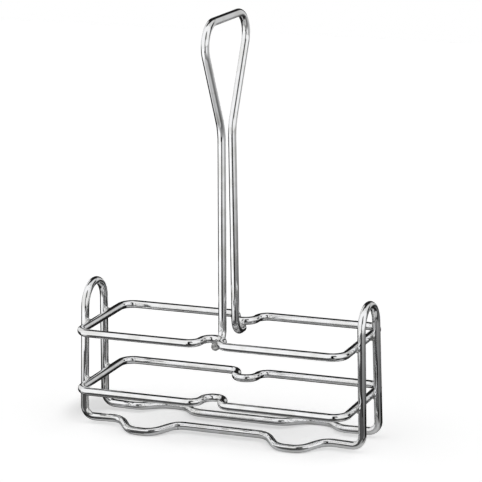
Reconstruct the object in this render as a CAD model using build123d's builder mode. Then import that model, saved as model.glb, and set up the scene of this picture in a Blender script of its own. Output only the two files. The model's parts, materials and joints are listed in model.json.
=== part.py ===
from build123d import *
from math import cos, pi, radians, sin, tan
import os

# Condiment caddy for two bottles, bent and welded from round wire.
# +X runs along the caddy, +Y to its back and +Z up. The origin is on the table, under the
# middle of the rack. Sizes are in millimetres, and a wire's place is that of its centreline.

os.makedirs("parts", exist_ok=True)

# The wire and its welds
wire_diameter = 5.0
weld_set_down = 0.3  # how far two crossing wires are pressed into each other
weld_bead_radius = 3.1  # reach of the metal squeezed out round a weld

# End hoops: each is an upside-down U that leans in a little, with legs that draw together
hoop_spacing = 182.4  # between the two hoops, at the level of the base runs
hoop_width = 30.8  # between the two legs of a hoop, at the same level
hoop_height = 83.2  # from the base runs up to a hoop's crown
hoop_lean = 1.14  # degrees that a hoop leans in over the bottles
leg_taper = 1.31  # degrees that a leg leans towards its partner
base_corner_radius = 6.5  # where a leg turns into a base run

# Base runs: the bottles stand on the waists, and the caddy stands on four bent-out feet
waist_width = 27.2  # between the front and back runs, where they are straight
foot_spacing = 96.7  # between the middles of the two feet of a run
foot_reach = 14.5  # how far a foot stands out from its run
foot_drop = 1.7  # how far a foot's tip lies below its run
foot_tip_length = 15.1  # along X, from corner to corner before rounding
foot_flank_length = 11.2  # along X
foot_bend_radius = 11.2

# Bottle rings: two closed rings, pinched in the middle so that each bottle has its own pocket
ring_width = 72.8
ring_corner_radius = 8.5
pinch_bend_radius = 6.9  # of every bend in the pinch, inner and outer
pinch_straight = 0.7  # of the pinch's sides, between their bends
lower_ring_rise = 23.0  # from the base runs up to the lower ring
ring_pitch = 37.0  # from the lower ring up to the upper one

# Handle: a loop on two stems, whose toes turn out under the upper ring's pinches
handle_rise = 251.9  # from the base runs up to the top of the loop
neck_rise = 184.8  # from the base runs up to where the stems spread into the loop
stem_gap_low = 21.8  # between the stems at their toes
stem_gap_high = 16.9  # between the stems at the neck
neck_bend_radius = 28.0
loop_width = 81.8  # at its top, from corner to corner before rounding
loop_corner_radius = 13.6
toe_bend_radius = 8.0
toe_overhang = 1.6  # how far a toe's end passes the pinch above it

# What follows from them
weld_pitch = wire_diameter - weld_set_down
base_level = wire_diameter / 2 + foot_drop
lower_ring_level = base_level + lower_ring_rise
upper_ring_level = lower_ring_level + ring_pitch
toe_level = upper_ring_level - weld_pitch
pinch_tip = ring_width / 2 - 2 * pinch_bend_radius - pinch_straight


def hoop_point(side, across, up):
    """A point in the leaning plane of a hoop: across along Y, up from the base runs."""
    lean = radians(hoop_lean)
    return (side * (hoop_spacing / 2 - up * sin(lean)), across, base_level + up * cos(lean))


def leg_point(side, face, level):
    """Where a leg's centreline passes a level: side is -1 left or 1 right, face -1 front or 1 back."""
    up = (level - base_level) / cos(radians(hoop_lean))
    return hoop_point(side, face * (hoop_width / 2 - up * tan(radians(leg_taper))), up)


def ring_half_length(level):
    """A ring's short side is pressed against the inner side of the legs."""
    return leg_point(1, 1, level)[0] - weld_pitch / cos(radians(hoop_lean))


def base_run(face):
    """Corners and bend radii of a base run between the upper ends of its two legs."""
    waist = face * waist_width / 2
    foot = face * (waist_width / 2 + foot_reach)
    foot_level = base_level - foot_drop
    corners = [leg_end(-1, face), leg_point(-1, face, base_level)]
    for middle in (-foot_spacing / 2, foot_spacing / 2):
        tip = foot_tip_length / 2
        root = tip + foot_flank_length
        corners += [(middle - root, waist, base_level), (middle - tip, foot, foot_level)]
        corners += [(middle + tip, foot, foot_level), (middle + root, waist, base_level)]
    corners += [leg_point(1, face, base_level), leg_end(1, face)]
    radii = [base_corner_radius] + 8 * [foot_bend_radius] + [base_corner_radius]
    return corners, radii


# A hoop's crown is an arc that meets both of its drawn-in legs without a kink
taper = radians(leg_taper)
crown_up = hoop_height / cos(radians(hoop_lean))
crown_radius = (hoop_width / 2 * cos(taper) - crown_up * sin(taper)) / (1 - sin(taper))


def leg_end(side, face):
    """Where a leg meets its crown."""
    return hoop_point(side, face * crown_radius * cos(taper), crown_up - crown_radius * (1 - sin(taper)))


# The base frame is one closed wire: both hoops and both footed base runs
with BuildPart() as base_frame:
    with BuildLine() as base_line:
        for face in (-1, 1):
            corners, radii = base_run(face)
            FilletPolyline(*corners, radius=radii)
        for side in (-1, 1):
            ThreePointArc(leg_end(side, -1), hoop_point(side, 0, crown_up), leg_end(side, 1))
    base_path = base_line.wire()
    with BuildSketch(Plane(origin=base_path @ 0, z_dir=base_path % 0)):
        Circle(wire_diameter / 2)
    sweep(path=base_path)


def bottle_ring(level):
    """A closed ring, drawn as a quarter and mirrored, with saddles where the hoops press into it."""
    half_length = ring_half_length(level)
    half_width = ring_width / 2
    with BuildPart() as ring:
        with BuildLine(Plane.XY.offset(level)) as ring_line:
            Line((half_length, 0), (half_length, half_width - ring_corner_radius))
            JernArc((half_length, half_width - ring_corner_radius), (0, 1), ring_corner_radius, 90)
            Line((half_length - ring_corner_radius, half_width), (2 * pinch_bend_radius, half_width))
            JernArc((2 * pinch_bend_radius, half_width), (-1, 0), pinch_bend_radius, 90)
            pinch_side = half_width - pinch_bend_radius
            Line((pinch_bend_radius, pinch_side), (pinch_bend_radius, pinch_side - pinch_straight))
            JernArc((pinch_bend_radius, pinch_side - pinch_straight), (0, -1), pinch_bend_radius, -90)
            mirror(about=Plane.YZ)
            mirror(about=Plane.XZ)
        ring_path = ring_line.wire()
        with BuildSketch(Plane(origin=ring_path @ 0, z_dir=ring_path % 0)):
            Circle(wire_diameter / 2)
        sweep(path=ring_path)
        add(base_frame.part, mode=Mode.SUBTRACT)
    return ring


lower_ring = bottle_ring(lower_ring_level)
upper_ring = bottle_ring(upper_ring_level)

# The handle is one wire in the plane across the caddy, from toe to toe
handle_top = base_level + handle_rise
neck_level = base_level + neck_rise
back_half = [
    (loop_width / 2, handle_top),
    (stem_gap_high / 2, neck_level),
    (stem_gap_low / 2, toe_level),
    (pinch_tip + toe_overhang, toe_level),
]
front_half = [(-across, level) for across, level in reversed(back_half)]
half_radii = [loop_corner_radius, neck_bend_radius, toe_bend_radius]

with BuildPart() as handle:
    with BuildLine(Plane.YZ) as handle_line:
        FilletPolyline(*front_half, *back_half, radius=half_radii[::-1] + half_radii)
    handle_path = handle_line.wire()
    with BuildSketch(Plane(origin=handle_path @ 0, z_dir=handle_path % 0)):
        Circle(wire_diameter / 2)
    sweep(path=handle_path)
    add(upper_ring.part, mode=Mode.SUBTRACT)


def weld_bead(centre, first_wire, second_wire):
    """The collar of metal that fills the notch round a crossing of two wires."""
    with BuildPart() as bead:
        with Locations(centre):
            Sphere(weld_bead_radius)
        add(first_wire.part, mode=Mode.SUBTRACT)
        add(second_wire.part, mode=Mode.SUBTRACT)
    return bead


pieces = {
    "handle": handle,
    "upper_ring": upper_ring,
    "lower_ring": lower_ring,
    "base_frame": base_frame,
}

# Eight welds hold the rings to the legs of the hoops
for ring_name, ring, level in (
    ("upper", upper_ring, upper_ring_level),
    ("lower", lower_ring, lower_ring_level),
):
    for side, side_name in ((-1, "left"), (1, "right")):
        for face, face_name in ((-1, "front"), (1, "back")):
            leg_x, leg_y, _ = leg_point(side, face, level)
            seat = (leg_x - side * weld_pitch / 2, leg_y, level)
            pieces[f"weld_{ring_name}_{side_name}_{face_name}"] = weld_bead(seat, ring, base_frame)

# Two welds hold the toes of the handle to the upper ring's pinches
for face, face_name in ((-1, "front"), (1, "back")):
    seat = (0, face * pinch_tip, toe_level + weld_pitch / 2)
    pieces[f"weld_handle_{face_name}"] = weld_bead(seat, handle, upper_ring)

for name, piece in pieces.items():
    piece.part.label = name
    export_step(piece.part, f"parts/{name}.step")

# A swept wire keeps its section, so its volume is close to its section times its length
section = pi * wire_diameter**2 / 4
for name, path in (("base_frame", base_path), ("handle", handle_path)):
    share = pieces[name].part.volume / (section * path.length)
    print(name, "wire length", round(path.length, 1), "volume share", round(share, 4))
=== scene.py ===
import bpy
import json
import numpy as np
from mathutils import Matrix, Vector

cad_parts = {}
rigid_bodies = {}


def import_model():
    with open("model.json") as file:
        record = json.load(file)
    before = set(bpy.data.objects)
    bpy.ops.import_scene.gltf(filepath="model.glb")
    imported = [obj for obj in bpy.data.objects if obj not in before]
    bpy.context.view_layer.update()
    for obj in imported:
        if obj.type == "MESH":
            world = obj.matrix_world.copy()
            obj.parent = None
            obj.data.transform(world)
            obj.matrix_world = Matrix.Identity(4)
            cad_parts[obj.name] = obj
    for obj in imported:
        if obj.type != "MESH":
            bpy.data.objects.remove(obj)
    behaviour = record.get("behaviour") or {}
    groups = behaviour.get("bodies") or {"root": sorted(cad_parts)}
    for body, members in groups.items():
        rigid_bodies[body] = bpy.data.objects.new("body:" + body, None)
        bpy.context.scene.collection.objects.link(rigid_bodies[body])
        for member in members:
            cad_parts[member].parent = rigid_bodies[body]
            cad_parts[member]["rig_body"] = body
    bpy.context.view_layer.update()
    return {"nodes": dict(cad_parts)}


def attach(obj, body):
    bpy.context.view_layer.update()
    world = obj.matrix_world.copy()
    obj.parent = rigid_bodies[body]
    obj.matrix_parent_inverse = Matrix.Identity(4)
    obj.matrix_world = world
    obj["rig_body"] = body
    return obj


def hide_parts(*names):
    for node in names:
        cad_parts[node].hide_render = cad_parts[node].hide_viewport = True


# A chromed wire caddy for two bottles. Lengths are in metres and angles in degrees.
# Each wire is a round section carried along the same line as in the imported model.

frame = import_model()
print("frame loaded:", len(frame["nodes"]), "nodes")

wire = {
    "diameter": 0.005,
    "setDown": 0.0003,  # how far two crossing wires are pressed into each other
    "sides": 40,
    "step": 0.0008,  # from one section to the next
    "arcPoints": 60,  # in the line of a bend, before its points are evenly spaced
    "easing": 5,  # sections that a bend takes to start or end
    "bendFlattening": 0.25,  # share of the radius that a bend as tight as the radius would take
    "ripple": 0.004,  # share of the radius
    "rippleWaves": (0.011, 0.017, 0.029, 0.047, 0.071),  # from crest to crest
}
radius = wire["diameter"] / 2
pitch = wire["diameter"] - wire["setDown"]


def unit(v):
    # Each vector divided by its own length
    return v / np.linalg.norm(v, axis=-1, keepdims=True)


def bentLine(corners, bends):
    # Straight runs through the corners, in which each inner corner becomes an arc that touches
    # both runs: centre + cos t * (start - centre) + sin t * forward * bend radius.
    corners = np.array(corners, float)
    parts = [corners[:1]]
    for before, corner, after, bend in zip(corners, corners[1:], corners[2:], bends):
        back, ahead = unit(before - corner), unit(after - corner)
        half = np.arccos(back @ ahead) / 2
        start = corner + back * bend / np.tan(half)
        centre = corner + unit(back + ahead) * bend / np.sin(half)
        turn = np.linspace(0, np.pi - 2 * half, wire["arcPoints"])[:, None]
        parts.append(centre + np.cos(turn) * (start - centre) - np.sin(turn) * back * bend)
    return np.concatenate(parts + [corners[-1:]])


def evenLine(line, closed):
    # The same line with its points evenly spaced, and how far along it each one lies
    if closed:
        line = np.concatenate([line, line[:1]])
    run = np.concatenate([[0], np.cumsum(np.linalg.norm(np.diff(line, axis=0), axis=1))])
    along = np.linspace(0, run[-1], int(run[-1] / wire["step"]) + 1)
    line = np.column_stack([np.interp(along, run, line[:, k]) for k in range(3)])
    return (line[:-1], along[:-1]) if closed else (line, along)


def carriedFrames(line, closed):
    # Two unit vectors square to the line, which turn with it and do not twist about it: a first
    # pair is square to one slanting vector, and the running sum of the slips from each pair to
    # the next is turned back. The bend is the line's second difference over its spacing squared,
    # averaged over a few points either way, because a bend in a wire starts and ends softly.
    ahead, behind = np.roll(line, -1, axis=0), np.roll(line, 1, axis=0)
    if not closed:
        ahead[-1], behind[0] = 2 * line[-1] - line[-2], 2 * line[0] - line[1]
    forward = unit(ahead - behind)
    first = unit(np.cross(forward, np.ones(3)))
    second = np.cross(forward, first)
    before = np.roll(first, 1, axis=0)
    slip = np.arctan2((before * second).sum(1), (before * first).sum(1))
    twist = np.cumsum(slip) - slip[0]
    if closed:
        over = (twist[-1] + slip[0] + np.pi) % (2 * np.pi) - np.pi
        twist = twist - over * np.arange(len(line)) / len(line)
    c, s = np.cos(twist)[:, None], np.sin(twist)[:, None]
    bend = (ahead - 2 * line + behind) / np.linalg.norm(ahead - line, axis=1)[:, None] ** 2
    ease = wire["easing"]
    bell = np.hanning(2 * ease + 3)
    share = bell[1:-1] / bell.sum()
    padded = np.pad(bend, ((ease, ease), (0, 0)), "wrap" if closed else "edge")
    bend = np.stack([np.convolve(padded[:, k], share, "valid") for k in range(3)], axis=1)
    return forward, first * c + second * s, second * c - first * s, bend


def ripple(along, around, seed):
    # Slow sine waves along the wire, some of which wind round it, added up to 0 .. 1
    draw = np.random.default_rng(seed)
    waves = wire["rippleWaves"]
    total = 0.5
    for wave in waves:
        phase = draw.uniform(0, 2 * np.pi)
        winding = draw.integers(0, 3) * around
        total = total + np.sin(along * 2 * np.pi / wave + phase + winding) / (2 * len(waves))
    return total


def gridMesh(name, rings, along, worked, poles=None):
    # Quads between each ring of points and the next, wound so that they face outwards. With
    # poles, a fan closes each end on its pole; without them, the last ring joins the first.
    # The UV map holds the way along the wire and the share of a turn round it.
    rows, sides = rings.shape[:2]
    index = np.arange(rows * sides).reshape(rows, sides)
    points = rings.reshape(-1, 3)
    v = np.arange(sides + 1) / sides
    if poles is None:
        lower, upper = index, np.roll(index, -1, axis=0)
        u = np.append(along, 2 * along[-1] - along[-2])
    else:
        lower, upper, u = index[:-1], index[1:], along
    quads = np.stack([lower, np.roll(lower, -1, axis=1), np.roll(upper, -1, axis=1), upper], axis=-1)
    near, far, low, high = np.broadcast_arrays(u[:-1, None], u[1:, None], v[None, :-1], v[None, 1:])
    uv = np.stack([near, low, near, high, far, high, far, low], axis=-1).reshape(-1)
    faces = quads.reshape(-1, 4).tolist()
    level = np.repeat(worked, sides)
    if poles is not None:
        points = np.vstack([points, poles])
        level = np.append(level, [worked[0], worked[-1]])
        ends = ((index[0][::-1], rows * sides, u[0]), (index[-1], rows * sides + 1, u[-1]))
        for ring, pole, end in ends:
            faces += np.stack([np.full(sides, pole), ring, np.roll(ring, -1)], axis=-1).tolist()
            fan = np.stack([np.full(sides, end), v[:-1]] * 3, axis=-1)
            uv = np.append(uv, fan.reshape(-1))
    mesh = bpy.data.meshes.new(name)
    mesh.from_pydata(points.tolist(), [], faces)
    mesh.uv_layers.new(name="alongWire").data.foreach_set("uv", uv)
    mesh.attributes.new("worked", "FLOAT", "POINT").data.foreach_set("value", level)
    mesh.polygons.foreach_set("use_smooth", np.ones(len(mesh.polygons), bool))
    piece = bpy.data.objects.new(name, mesh)
    bpy.context.scene.collection.objects.link(piece)
    return piece


buttWeld = {
    "swell": 0.03,  # share of the radius that the joint stands proud
    "lopsided": 0.3,  # share of the swell that comes and goes round the wire
    "length": 0.0010,
}
cutEnd = {
    "depth": [0.00050, 0.00026, 0.00009, 0.00002, 0.00000, 0.00004, 0.00007],  # inwards from the end
    "size": [1.0, 0.985, 0.945, 0.885, 0.80, 0.45, 0.15],  # share of the radius
    "poleDepth": 0.00015,
    "slant": 0.00008,
}


def wireSurface(name, line, closed, seed, joinedAt=None):
    # The section is centre + radius * (cos a * first + sin a * second), carried along the line.
    # Its radius gives way across bends and to a faint ripple, and swells where its ends meet.
    points, along = evenLine(line, closed)
    forward, first, second, bend = carriedFrames(points, closed)
    around = np.linspace(0, 2 * np.pi, wire["sides"], endpoint=False)
    spoke = np.cos(around)[None, :, None] * first[:, None] + np.sin(around)[None, :, None] * second[:, None]
    curve = (spoke * bend[:, None]).sum(2) * radius
    size = 1 - wire["bendFlattening"] * curve**2 - wire["ripple"] * ripple(along[:, None], around, seed)
    worked = np.linalg.norm(bend, axis=1) * radius
    if joinedAt is not None:
        away = np.linalg.norm(points - joinedAt, axis=1)
        swell = np.exp(-((away / buttWeld["length"]) ** 2))
        uneven = 1 - buttWeld["lopsided"] + buttWeld["lopsided"] * np.sin(2 * around + seed)
        size = size + buttWeld["swell"] * swell[:, None] * uneven
        worked = np.maximum(worked, swell)
    if closed:
        rings = points[:, None] + spoke * (radius * size)[:, :, None]
        return gridMesh(name, rings, along, worked)
    # An end is a sheared face: rings that close in on the middle while they step inwards
    depth, share = np.array(cutEnd["depth"]), np.array(cutEnd["size"])
    tilt = cutEnd["slant"] * (1 + np.cos(around))[None, :] * share[:, None]
    caps = []
    for end, inward in ((0, forward[0]), (-1, -forward[-1])):
        step = (depth[:, None] + tilt)[:, :, None] * inward
        caps.append(points[end] + step + spoke[end][None] * (radius * share)[:, None, None])
    rings = points[1:-1, None] + (spoke * (radius * size)[:, :, None])[1:-1]
    rings = np.concatenate([caps[0][::-1], rings, caps[1]])
    poles = [points[0] + forward[0] * cutEnd["poleDepth"], points[-1] - forward[-1] * cutEnd["poleDepth"]]
    extra = len(depth)
    along = np.concatenate([np.full(extra, along[0]), along[1:-1], np.full(extra, along[-1])])
    worked = np.concatenate([np.ones(extra), worked[1:-1], np.ones(extra)])
    return gridMesh(name, rings, along, worked, poles)


def carry(piece, slot, *nodes):
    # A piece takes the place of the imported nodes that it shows
    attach(piece, "root")
    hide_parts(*nodes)


# The base frame: two leaning end hoops and two footed runs, bent from one closed wire
hoop = {
    "spacing": 0.1824,  # between the two hoops, at the level of the base runs
    "width": 0.0308,  # between the two legs of a hoop, at the same level
    "height": 0.0832,  # from the base runs up to the crown
    "lean": 1.14,  # in over the bottles
    "taper": 1.31,  # of a leg towards its partner
    "corner": 0.0065,  # bend radius where a leg turns into a base run
    "crownPoints": 200,
}
feet = {
    "waist": 0.0272,  # between the front and back runs, where they are straight
    "spacing": 0.0967,  # between the middles of the two feet of a run
    "reach": 0.0145,  # out from the run
    "drop": 0.0017,  # below the run
    "tip": 0.0151,  # along X, from corner to corner before rounding
    "flank": 0.0112,  # along X
    "bend": 0.0112,
    "jointAlong": -0.0290,  # where the closed wire's butt weld lies on the front run
    "jointOut": 0.0008,
    "seed": 3,
}
baseLevel = radius + feet["drop"]
lean, taper = np.radians(hoop["lean"]), np.radians(hoop["taper"])


def hoopPoint(side, across, up):
    # A point in a hoop's leaning plane: across along Y, and up from the base runs
    x = side * (hoop["spacing"] / 2 - up * np.sin(lean))
    return np.stack(np.broadcast_arrays(x, across, baseLevel + up * np.cos(lean)), axis=-1)


def legPoint(side, face, level):
    # Where a leg passes a level: half the hoop's width, less what the taper takes on the way up
    up = (level - baseLevel) / np.cos(lean)
    return hoopPoint(side, face * (hoop["width"] / 2 - up * np.tan(taper)), up)


def crownLine(side, face):
    # Half a turn, less the taper at both ends, over a hoop from the leg on one face to the other:
    # across is crown radius * sin t, and up is the crown's centre plus crown radius * cos t.
    top = hoop["height"] / np.cos(lean)
    bend = (hoop["width"] / 2 * np.cos(taper) - top * np.sin(taper)) / (1 - np.sin(taper))
    turn = np.linspace(-1, 1, hoop["crownPoints"]) * (np.pi / 2 - taper) * -face
    return hoopPoint(side, bend * np.sin(turn), top - bend + bend * np.cos(turn))


def baseRun(face):
    # From the left crown down its leg, along the run with its two feet, and up the right leg
    waist = face * feet["waist"] / 2
    foot = waist + face * feet["reach"]
    low = baseLevel - feet["drop"]
    tip = feet["tip"] / 2
    root = tip + feet["flank"]
    corners = [crownLine(-1, face)[0], legPoint(-1, face, baseLevel)]
    for middle in (-feet["spacing"] / 2, feet["spacing"] / 2):
        corners += [(middle - root, waist, baseLevel), (middle - tip, foot, low)]
        corners += [(middle + tip, foot, low), (middle + root, waist, baseLevel)]
    corners += [legPoint(1, face, baseLevel), crownLine(1, face)[0]]
    return bentLine(corners, [hoop["corner"]] + 8 * [feet["bend"]] + [hoop["corner"]])


front, back = baseRun(-1), baseRun(1)
baseLine = np.concatenate([front, crownLine(1, -1)[1:-1], back[::-1], crownLine(-1, 1)[1:-1]])
baseJoint = (feet["jointAlong"], -feet["waist"] / 2 - feet["jointOut"], baseLevel)
baseWire = wireSurface("baseWire", baseLine, True, feet["seed"], baseJoint)
carry(baseWire, "chrome_wire", "base_frame")
print("base wire bent:", len(baseWire.data.polygons), "faces")

# The two bottle rings, pinched in the middle and pressed against the inner sides of the legs
ring = {
    "width": 0.0728,
    "corner": 0.0085,
    "pinchBend": 0.0069,
    "pinchStraight": 0.0007,  # of the pinch's sides, between their bends
    "lowerRise": 0.0230,  # from the base runs up to the lower ring
    "pitch": 0.0370,  # from the lower ring up to the upper one
    "upperSeed": 11,
    "lowerSeed": 23,
}
lowerLevel = baseLevel + ring["lowerRise"]
upperLevel = lowerLevel + ring["pitch"]
pinchTip = ring["width"] / 2 - 2 * ring["pinchBend"] - ring["pinchStraight"]


def ringLine(level):
    # Half a ring round one pocket, then the same half turned about the middle of the caddy
    length = legPoint(1, 1, level)[0] - pitch / np.cos(lean)
    width, bend = ring["width"] / 2, ring["pinchBend"]
    half = [(0, -pinchTip), (bend, -pinchTip), (bend, -width), (length, -width), (length, width)]
    half += [(bend, width), (bend, pinchTip), (0, pinchTip)]
    half = np.column_stack([half, np.full(len(half), level)])
    line = bentLine(half, [bend, bend, ring["corner"], ring["corner"], bend, bend])
    return np.concatenate([line[:-1], (line * (-1, -1, 1))[:-1]])


for level, place in ((upperLevel, "upper"), (lowerLevel, "lower")):
    ringJoint = (legPoint(1, 1, level)[0] - pitch, 0, level)
    piece = wireSurface(place + "Ring", ringLine(level), True, ring[place + "Seed"], ringJoint)
    carry(piece, "chrome_wire", place + "_ring")
print("rings bent")

# The handle: a loop on two stems, whose toes turn out under the upper ring's pinches
handle = {
    "rise": 0.2519,  # from the base runs up to the top of the loop
    "neckRise": 0.1848,  # from the base runs up to where the stems spread into the loop
    "gapLow": 0.0218,  # between the stems at their toes
    "gapHigh": 0.0169,  # between the stems at the neck
    "neckBend": 0.028,
    "loopWidth": 0.0818,  # at its top, from corner to corner before rounding
    "loopCorner": 0.0136,
    "toeBend": 0.008,
    "toeOverhang": 0.0016,  # how far a toe's end passes the pinch above it
    "seed": 37,
}
toeLevel = upperLevel - pitch


def handleLine():
    # Half the handle from the loop's top corner down to its toe, after the same half mirrored
    top, neck = baseLevel + handle["rise"], baseLevel + handle["neckRise"]
    half = [(handle["loopWidth"] / 2, top), (handle["gapHigh"] / 2, neck), (handle["gapLow"] / 2, toeLevel)]
    half += [(pinchTip + handle["toeOverhang"], toeLevel)]
    across = np.array([(-y, z) for y, z in half[::-1]] + half)
    bends = [handle["loopCorner"], handle["neckBend"], handle["toeBend"]]
    return bentLine(np.column_stack([np.zeros(len(across)), across]), bends[::-1] + bends)


carry(wireSurface("handleWire", handleLine(), False, handle["seed"]), "chrome_wire", "handle")
print("handle bent")

weld = {
    "reach": 0.0026,  # from the middle of the crossing, along each wire
    "toeReach": 0.0014,  # the same, towards the cut end of a toe
    "climb": 66,  # how far round each wire the metal climbs
    "hollow": 0.85,  # how deeply its side curves in between the two wires
    "rough": 0.07,  # share of the reach that varies round it
    "roughWaves": (2, 3, 5, 7),  # in a turn
    "sides": 56,
    "steps": 13,  # rings from the upper wire to the lower one
    "inside": [(0.3, 0.55), (0.7, 0.75), (0.95, 0.93)],  # hidden rings: share of reach and of radius
    "slopeFrom": 0.98,  # share of the reach from which to the rim a wire's slope is taken
    "mapStep": 0.0003,  # from ring to ring on the UV map
    "firstSeed": 51,
}


def weldCollar(name, seat, upperWay, lowerWay, seed, bow=0, endReach=None):
    # A point at turn t lies on the upper wire at reach * cos t along it and climb * sin t round it,
    # and on the lower wire the other way about. A cubic that leaves both surfaces smoothly joins
    # the two, and rings inside each wire close the shape on two hidden poles.
    seat, upperWay = np.array(seat), unit(np.array(upperWay, float))
    normal = unit(np.cross(upperWay, lowerWay))
    across = np.cross(normal, upperWay)
    turn = np.linspace(0, 2 * np.pi, weld["sides"], endpoint=False)
    draw = np.random.default_rng(seed)
    vary = sum(np.sin(k * turn + draw.uniform(0, 2 * np.pi)) / k for k in weld["roughWaves"])
    spread = 1 + weld["rough"] * vary
    c, s = np.cos(turn) * spread, np.sin(turn) * spread
    lowerReach = weld["reach"] if endReach is None else np.where(s > 0, endReach, weld["reach"])
    climb = np.radians(weld["climb"])

    def onUpper(share, size):
        # At a share of the way out to the rim, and of the wire's radius
        along, angle = share * weld["reach"] * c, share * climb * s
        sideways = radius * size * np.sin(angle) + bow * along**2 / 2
        height = pitch / 2 - radius * size * np.cos(angle)
        return seat + along[:, None] * upperWay + sideways[:, None] * across + height[:, None] * normal

    def onLower(share, size):
        along, angle = share * lowerReach * s, share * climb * c
        sideways = radius * size * np.sin(angle)
        height = radius * size * np.cos(angle) - pitch / 2
        return seat + along[:, None] * across + sideways[:, None] * upperWay + height[:, None] * normal

    start, end = onUpper(1, 1), onLower(1, 1)
    gap = np.linalg.norm(end - start, axis=1, keepdims=True) * weld["hollow"]
    leave = -unit(start - onUpper(weld["slopeFrom"], 1)) * gap
    arrive = unit(end - onLower(weld["slopeFrom"], 1)) * gap
    t = np.linspace(0, 1, weld["steps"])[:, None, None]
    side = (2 * t**3 - 3 * t**2 + 1) * start + (t**3 - 2 * t**2 + t) * leave
    side = side + (3 * t**2 - 2 * t**3) * end + (t**3 - t**2) * arrive
    upper = np.stack([onUpper(share, size) for share, size in weld["inside"]])
    lower = np.stack([onLower(share, size) for share, size in weld["inside"][::-1]])
    rings = np.concatenate([upper, side, lower])[:, ::-1]
    poles = [seat + normal * pitch / 4, seat - normal * pitch / 4]
    return gridMesh(name, rings, np.arange(len(rings)) * weld["mapStep"], np.ones(len(rings)), poles)


seed = weld["firstSeed"]
for place, level in (("upper", upperLevel), ("lower", lowerLevel)):
    for side, sideName in ((-1, "left"), (1, "right")):
        for face, faceName in ((-1, "front"), (1, "back")):
            x, y, _ = legPoint(side, face, level)
            legWay = unit(legPoint(side, face, upperLevel) - legPoint(side, face, lowerLevel)) * side
            seat = (x - side * pitch / 2, y, level)
            name = f"weld_{place}_{sideName}_{faceName}"
            piece = weldCollar(name + "_collar", seat, (0, 1, 0), legWay, seed)
            carry(piece, "chrome_weld", name)
            seed += 1
for face, faceName in ((-1, "front"), (1, "back")):
    seat = (0, face * pinchTip, toeLevel + pitch / 2)
    piece = weldCollar(
        f"weld_handle_{faceName}_collar", seat, (face, 0, 0), (0, face, 0), seed + face,
        bow=1 / ring["pinchBend"], endReach=weld["toeReach"],
    )
    carry(piece, "chrome_weld", f"weld_handle_{faceName}")
print("welds filled")


def node(tree, kind, values=None, **settings):
    # A new node: what comes out of another node is linked in, and anything else is set
    made = tree.nodes.new(kind)
    for key, value in settings.items():
        setattr(made, key, value)
    for socket, value in (values or {}).items():
        if isinstance(value, bpy.types.NodeSocket):
            tree.links.new(value, made.inputs[socket])
        else:
            made.inputs[socket].default_value = value
    return made


def maths(tree, operation, *values):
    return node(tree, "ShaderNodeMath", dict(enumerate(values)), operation=operation).outputs[0]


def fade(tree, value, low, high, outLow=0.0, outHigh=1.0):
    # A soft step from one level to another while the value goes from low to high
    values = {"Value": value, "From Min": low, "From Max": high, "To Min": outLow, "To Max": outHigh}
    return node(tree, "ShaderNodeMapRange", values, interpolation_type="SMOOTHSTEP").outputs[0]


def mixColour(tree, factor, first, second):
    made = node(tree, "ShaderNodeMix", {0: factor, 6: first, 7: second}, data_type="RGBA")
    return made.outputs[2]


def noise(tree, place, scale, detail):
    return node(tree, "ShaderNodeTexNoise", {"Vector": place, "Scale": scale, "Detail": detail}).outputs[0]


def emptyMaterial(name):
    material = bpy.data.materials.new(name)
    material.use_nodes = True
    return material, material.node_tree, material.node_tree.nodes["Principled BSDF"]


chrome = {
    "bright": (0.90, 0.905, 0.915, 1),
    "dull": (0.80, 0.80, 0.79, 1),
    "hazeScale": 110.0,
    "hazeEdge": (0.42, 0.66),  # of the noise, from bright to dull
    "roughness": 0.045,
    "hazeRoughness": 0.05,  # added where it is dull
    "bendRoughness": 0.10,  # added where it is bent hard
    "lineStretch": (40, 2600, 2600),  # drawing lines run along the wire
    "lineDepth": 0.000001,
    "waveScale": 160.0,
    "waveDepth": 0.000006,
    "cut": (0.78, 0.78, 0.77, 1),  # at a cut end or a butt weld
    "cutEdge": (0.5, 0.95),  # of how hard the metal is worked
    "cutPits": (0.34, 0.34, 0.33, 1),
    "pitScale": 800.0,
    "pitEdge": (0.40, 0.58),
    "cutRoughness": 0.22,
}
weldMetal = chrome | {
    "roughness": 0.10,
    "waveDepth": 0.00011,
    "cutPits": (0.50, 0.50, 0.49, 1),
    "cutRoughness": 0.08,
}


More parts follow.
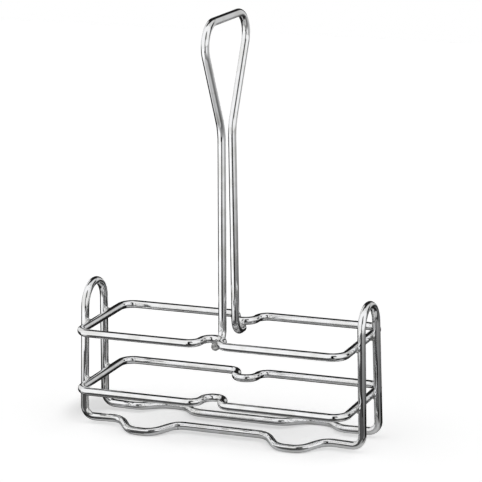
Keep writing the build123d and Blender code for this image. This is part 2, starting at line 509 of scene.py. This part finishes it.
def chromeFinish(name, finish):
    material, tree, shader = emptyMaterial(name)
    place = node(tree, "ShaderNodeTexCoord")
    split = node(tree, "ShaderNodeSeparateXYZ", {0: place.outputs["UV"]})
    # The UV map unrolls the wire; wound up again, it is a straight wire with no seam round it
    turn = maths(tree, "MULTIPLY", split.outputs[1], 2 * np.pi)
    rim = [maths(tree, "MULTIPLY", maths(tree, way, turn), radius) for way in ("COSINE", "SINE")]
    straight = node(tree, "ShaderNodeCombineXYZ", {0: split.outputs[0], 1: rim[0], 2: rim[1]}).outputs[0]
    stretched = node(tree, "ShaderNodeMapping", {"Vector": straight, "Scale": finish["lineStretch"]})
    lines = noise(tree, stretched.outputs[0], 1.0, 3.0)
    haze = noise(tree, place.outputs["Object"], finish["hazeScale"], 5.0)
    wave = noise(tree, place.outputs["Object"], finish["waveScale"], 1.0)
    pits = noise(tree, place.outputs["Object"], finish["pitScale"], 2.0)
    worked = node(tree, "ShaderNodeAttribute", attribute_name="worked").outputs["Fac"]
    cloud = fade(tree, haze, *finish["hazeEdge"])
    colour = mixColour(tree, cloud, finish["bright"], finish["dull"])
    cut = fade(tree, worked, *finish["cutEdge"])
    pitted = mixColour(tree, fade(tree, pits, *finish["pitEdge"]), finish["cut"], finish["cutPits"])
    colour = mixColour(tree, cut, colour, pitted)
    tree.links.new(colour, shader.inputs["Base Color"])
    rough = maths(tree, "MULTIPLY_ADD", cloud, finish["hazeRoughness"], finish["roughness"])
    rough = maths(tree, "MULTIPLY_ADD", worked, finish["bendRoughness"], rough)
    rough = maths(tree, "MULTIPLY_ADD", cut, finish["cutRoughness"], rough)
    tree.links.new(rough, shader.inputs["Roughness"])
    shader.inputs["Metallic"].default_value = 1.0
    bump = node(tree, "ShaderNodeBump", {"Height": wave, "Distance": finish["waveDepth"]}).outputs[0]
    values = {"Height": lines, "Distance": finish["lineDepth"], "Normal": bump}
    tree.links.new(node(tree, "ShaderNodeBump", values).outputs[0], shader.inputs["Normal"])
    return material


chromeWire = chromeFinish("chromeWire", chrome)
chromeWeld = chromeFinish("chromeWeld", weldMetal)
for piece in bpy.context.scene.objects:
    if piece.type == "MESH" and "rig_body" in piece and not piece.hide_render:
        piece.data.materials.clear()
        piece.data.materials.append(chromeWeld if piece.name.startswith("weld_") else chromeWire)
print("chrome finished")

# The floor is pale paper. The camera sees it a little brighter than it is lit, as white. Metal
# sees it only round the caddy: further out it sees the table's sheets, which come after it.
floor = {
    "size": 3.0,
    "colour": (0.86, 0.86, 0.86, 1),
    "fleck": (0.88, 0.88, 0.88, 1),
    "fleckScale": 900.0,
    "fleckEdge": (0.3, 0.7),
    "lift": 0.445,
    "patchCentre": (0.010, -0.002, 0),  # the oval of it that metal sees
    "patch": (0.100, 0.036, 1),
    "patchEdge": (0.85, 1.15),
    "paintedShadows": [
        # centre, half size and tone of each painted shadow, a soft dark oval in the paper's colour: one all
        # round the caddy and one at its left end
        ((0.000, 0.008, 0), (0.114, 0.051, 1), (0.62, 0.62, 0.62, 1)),
        ((-0.099, 0.019, 0), (0.024, 0.044, 1), (0.44, 0.44, 0.44, 1)),
    ],
    "paintedShadowEdge": (0.2, 1.0),
}


def flatPiece(name, corners, material):
    # One flat face of the stage
    mesh = bpy.data.meshes.new(name)
    mesh.from_pydata(corners, [], [tuple(range(len(corners)))])
    mesh.materials.append(material)
    piece = bpy.data.objects.new(name, mesh)
    bpy.context.scene.collection.objects.link(piece)
    return piece


def ovalReach(tree, place, centre, size):
    # How far out a point lies, where 1 is the edge of an oval
    values = {"Vector": place, "Location": centre, "Scale": size}
    inOval = node(tree, "ShaderNodeMapping", values, vector_type="TEXTURE").outputs[0]
    return node(tree, "ShaderNodeVectorMath", {0: inOval}, operation="LENGTH").outputs["Value"]


def showThrough(tree, shader, factor):
    # The surface is clear where the factor is 1
    clear = node(tree, "ShaderNodeBsdfTransparent").outputs[0]
    shown = node(tree, "ShaderNodeMixShader", {0: factor, 1: shader.outputs[0], 2: clear})
    tree.links.new(shown.outputs[0], tree.nodes["Material Output"].inputs["Surface"])


paper, tree, shader = emptyMaterial("paper")
shader.inputs["Roughness"].default_value = 0.9
shader.inputs["Specular IOR Level"].default_value = 0.0
place = node(tree, "ShaderNodeTexCoord").outputs["Object"]
grain = fade(tree, noise(tree, place, floor["fleckScale"], 2.0), *floor["fleckEdge"])
tone = mixColour(tree, grain, floor["colour"], floor["fleck"])
# Painted shadows: each oval darkens the paper's colour towards its tone, as the caddy's shade on the floor
for centre, size, colour in floor["paintedShadows"]:
    inside = fade(tree, ovalReach(tree, place, centre, size), *floor["paintedShadowEdge"], 1.0, 0.0)
    tone = mixColour(tree, inside, tone, colour)
tree.links.new(tone, shader.inputs["Base Color"])
seen = node(tree, "ShaderNodeLightPath")
shader.inputs["Emission Color"].default_value = (1, 1, 1, 1)
lift = maths(tree, "MULTIPLY", seen.outputs["Is Camera Ray"], floor["lift"])
tree.links.new(lift, shader.inputs["Emission Strength"])
outside = fade(tree, ovalReach(tree, place, floor["patchCentre"], floor["patch"]), *floor["patchEdge"])
showThrough(tree, shader, maths(tree, "MULTIPLY", outside, seen.outputs["Is Glossy Ray"]))
half = floor["size"] / 2
flatPiece("floor", [(-half, -half, 0), (half, -half, 0), (half, half, 0), (-half, half, 0)], paper)
print("floor laid")

facing = 21.5  # the camera's side of the caddy, from -Y towards +X

# What only the metal sees of the table: a dark apron, a dark sheet of painted shade between the
# waists and a low dark strip in front of the caddy, and the table further off, by turn from the camera's
# side.
table = {
    "apron": [(-0.125, -0.045), (0.160, -0.045), (0.100, -0.120), (0.020, -0.210), (-0.150, -0.210)],
    "apronLevel": -0.001,
    # painted shade: a dark sheet on the floor between the waists, seen only by the metal
    "shade": [(-0.080, -0.003), (0.080, -0.003), (0.080, 0.009), (-0.080, 0.009)],
    "shadeLevel": 0.0004,
    "stripPlace": -0.047,
    "stripHalf": 0.130,
    "stripHeight": 0.0150,
    "dark": 0.08,
    "nearOnly": (0.198, 0.242),  # wires further off look past what is dark
    "farLevel": -0.002,
    "farPoints": 12,  # along each edge
    "far": [
        # from turn, to turn, near, far, near tone, far tone, edge
        # the first sheet, left of the camera, is darker near the caddy as painted shade on the table
        (-100, -27, 0.11, 0.30, 0.35, 1.10, 1.70),
        (-27, -14, 0.66, 1.00, 0.05, 1.00, 4.0),
        (14, 62, 0.22, 0.80, 0.20, 0.85, 4.0),
        (62, 118, 0.20, 0.70, 0.12, 0.42, 4.0),
        (118, 168, 0.35, 1.10, 0.04, 0.60, 4.0),
    ],
}


def tableMaterial(name, near, far, nearTone, farTone, nearOnly=None):
    # Its tone changes from near to far with the distance from the middle of the caddy
    material, tree, shader = emptyMaterial(name)
    shader.inputs["Base Color"].default_value = (0, 0, 0, 1)
    shader.inputs["Specular IOR Level"].default_value = 0.0
    shader.inputs["Emission Color"].default_value = (1, 1, 1, 1)
    place = node(tree, "ShaderNodeTexCoord").outputs["Object"]
    reach = node(tree, "ShaderNodeVectorMath", {0: place}, operation="LENGTH").outputs["Value"]
    tree.links.new(fade(tree, reach, near, far, nearTone, farTone), shader.inputs["Emission Strength"])
    if nearOnly:
        length = node(tree, "ShaderNodeLightPath").outputs["Ray Length"]
        showThrough(tree, shader, fade(tree, length, *nearOnly))
    return material


dark = tableMaterial("cardDark", 0, 1, table["dark"], table["dark"], table["nearOnly"])
sheets = []
for name in ("apron", "shade"):
    sheets.append(flatPiece(name, [(x, y, table[name + "Level"]) for x, y in table[name]], dark))
corners = [(-1, 0), (1, 0), (1, 1), (-1, 1)]
corners = [(x * table["stripHalf"], table["stripPlace"], z * table["stripHeight"]) for x, z in corners]
sheets.append(flatPiece("strip", corners, dark))
for number, (start, end, near, far, nearTone, farTone, edge) in enumerate(table["far"]):
    turns = np.radians(facing + np.linspace(start, end, table["farPoints"]))
    ways = np.column_stack([np.sin(turns), -np.cos(turns), np.zeros(len(turns))])
    corners = np.concatenate([ways * near, ways[::-1] * edge]) + (0, 0, table["farLevel"])
    material = tableMaterial(f"cardPale{number}", near, far, nearTone, farTone)
    sheets.append(flatPiece(f"farTable{number}", corners.tolist(), material))
for sheet in sheets:
    sheet.visible_camera = sheet.visible_diffuse = sheet.visible_shadow = False
print("table laid:", len(sheets), "sheets")

# The studio, by direction. Turn is from the camera's side of the caddy, to its right, and rise is
# above the horizon. Each card is a soft patch of one brightness, laid over the ones before it.
studio = {
    "level": 0.015,
    "cards": [
        # name, turn, half width, lowest, highest, softness, brightness
        ("overhead", 0, 180, 75, 90, 4, 1.00),
        ("frontBox", -12, 108, -3, 90, 4, 0.97),
        ("leftBox", -68, 40, -10, 90, 3, 1.00),
        ("backLeftBox", -136, 24, -4, 46, 6, 0.85),
        ("backRightBox", 113, 28, 28, 90, 6, 0.75),
        ("backCard", 137, 14, -8, 26, 4, 0.62),
        ("rightCard", 38, 24, -24, -4, 3, 0.20),
        ("under", 0, 105, -90, -48, 6, 0.55),
        ("openingHigh", 14, 11, 26, 62, 4, 0.12),
        ("lowMiddle", -6, 26, -50, -24, 3, 0.30),
        ("openingLow", 1, 10, -25, 4, 3, 0.0),
        ("opening", -5, 9, 0, 60, 3, 0.0),
    ],
}
world = bpy.data.worlds.new("studio")
bpy.context.scene.world = world
world.use_nodes = True
tree = world.node_tree
way = node(tree, "ShaderNodeTexCoord").outputs["Generated"]
turned = node(tree, "ShaderNodeVectorRotate", {"Vector": way, "Angle": -np.radians(facing)})
split = node(tree, "ShaderNodeSeparateXYZ", {0: turned.outputs[0]})
turn = maths(tree, "ARCTAN2", split.outputs[0], maths(tree, "MULTIPLY", split.outputs[1], -1.0))
rise = maths(tree, "ARCSINE", split.outputs[2])
light = studio["level"]
for name, *angles, bright in studio["cards"]:
    centre, width, low, high, soft = np.radians(angles).tolist()
    off = maths(tree, "ABSOLUTE", maths(tree, "WRAP", maths(tree, "SUBTRACT", turn, centre), np.pi, -np.pi))
    mask = fade(tree, off, width - soft, width + soft, 1.0, 0.0)
    mask = maths(tree, "MULTIPLY", mask, fade(tree, rise, low - soft, low + soft))
    mask = maths(tree, "MULTIPLY", mask, fade(tree, rise, high - soft, high + soft, 1.0, 0.0))
    light = node(tree, "ShaderNodeMix", {0: mask, 2: light, 3: bright}, label=name).outputs[0]
# The camera sees the world as plain white
seen = node(tree, "ShaderNodeLightPath").outputs["Is Camera Ray"]
light = node(tree, "ShaderNodeMix", {0: seen, 2: light, 3: 1.0}).outputs[0]
backdrop = tree.nodes["Background"]
backdrop.inputs["Color"].default_value = (1, 1, 1, 1)
tree.links.new(light, backdrop.inputs["Strength"])
print("studio lit")

camera = {
    "place": (0.5361, -1.3401, 0.4688),
    "shift": 0.0003,  # up and to the left, half a pixel of the photograph at the caddy
    "turn": 21.482,  # from -Y towards +X
    "tilt": 13.605,
    "roll": -0.538,
    "lens": 183.4,
    "sensor": 36,
}
turn, tilt, roll = (np.radians(camera[k]) for k in ("turn", "tilt", "roll"))
ahead = np.array([-np.sin(turn) * np.cos(tilt), np.cos(turn) * np.cos(tilt), -np.sin(tilt)])
level = np.array([np.cos(turn), np.sin(turn), 0])
upward = np.cross(level, ahead)
rightward = np.cos(roll) * level + np.sin(roll) * upward
upward = np.cross(rightward, ahead)
place = np.array(camera["place"]) + camera["shift"] * (upward - rightward)
view = bpy.data.cameras.new("view")
view.lens, view.sensor_width = camera["lens"], camera["sensor"]
viewer = bpy.data.objects.new("view", view)
viewer.matrix_world = Matrix.Translation(Vector(place)) @ Matrix(
    np.column_stack([rightward, upward, -ahead]).tolist()
).to_4x4()
bpy.context.scene.collection.objects.link(viewer)
bpy.context.scene.camera = viewer
bpy.context.scene.view_settings.view_transform = "Standard"
print("camera set")
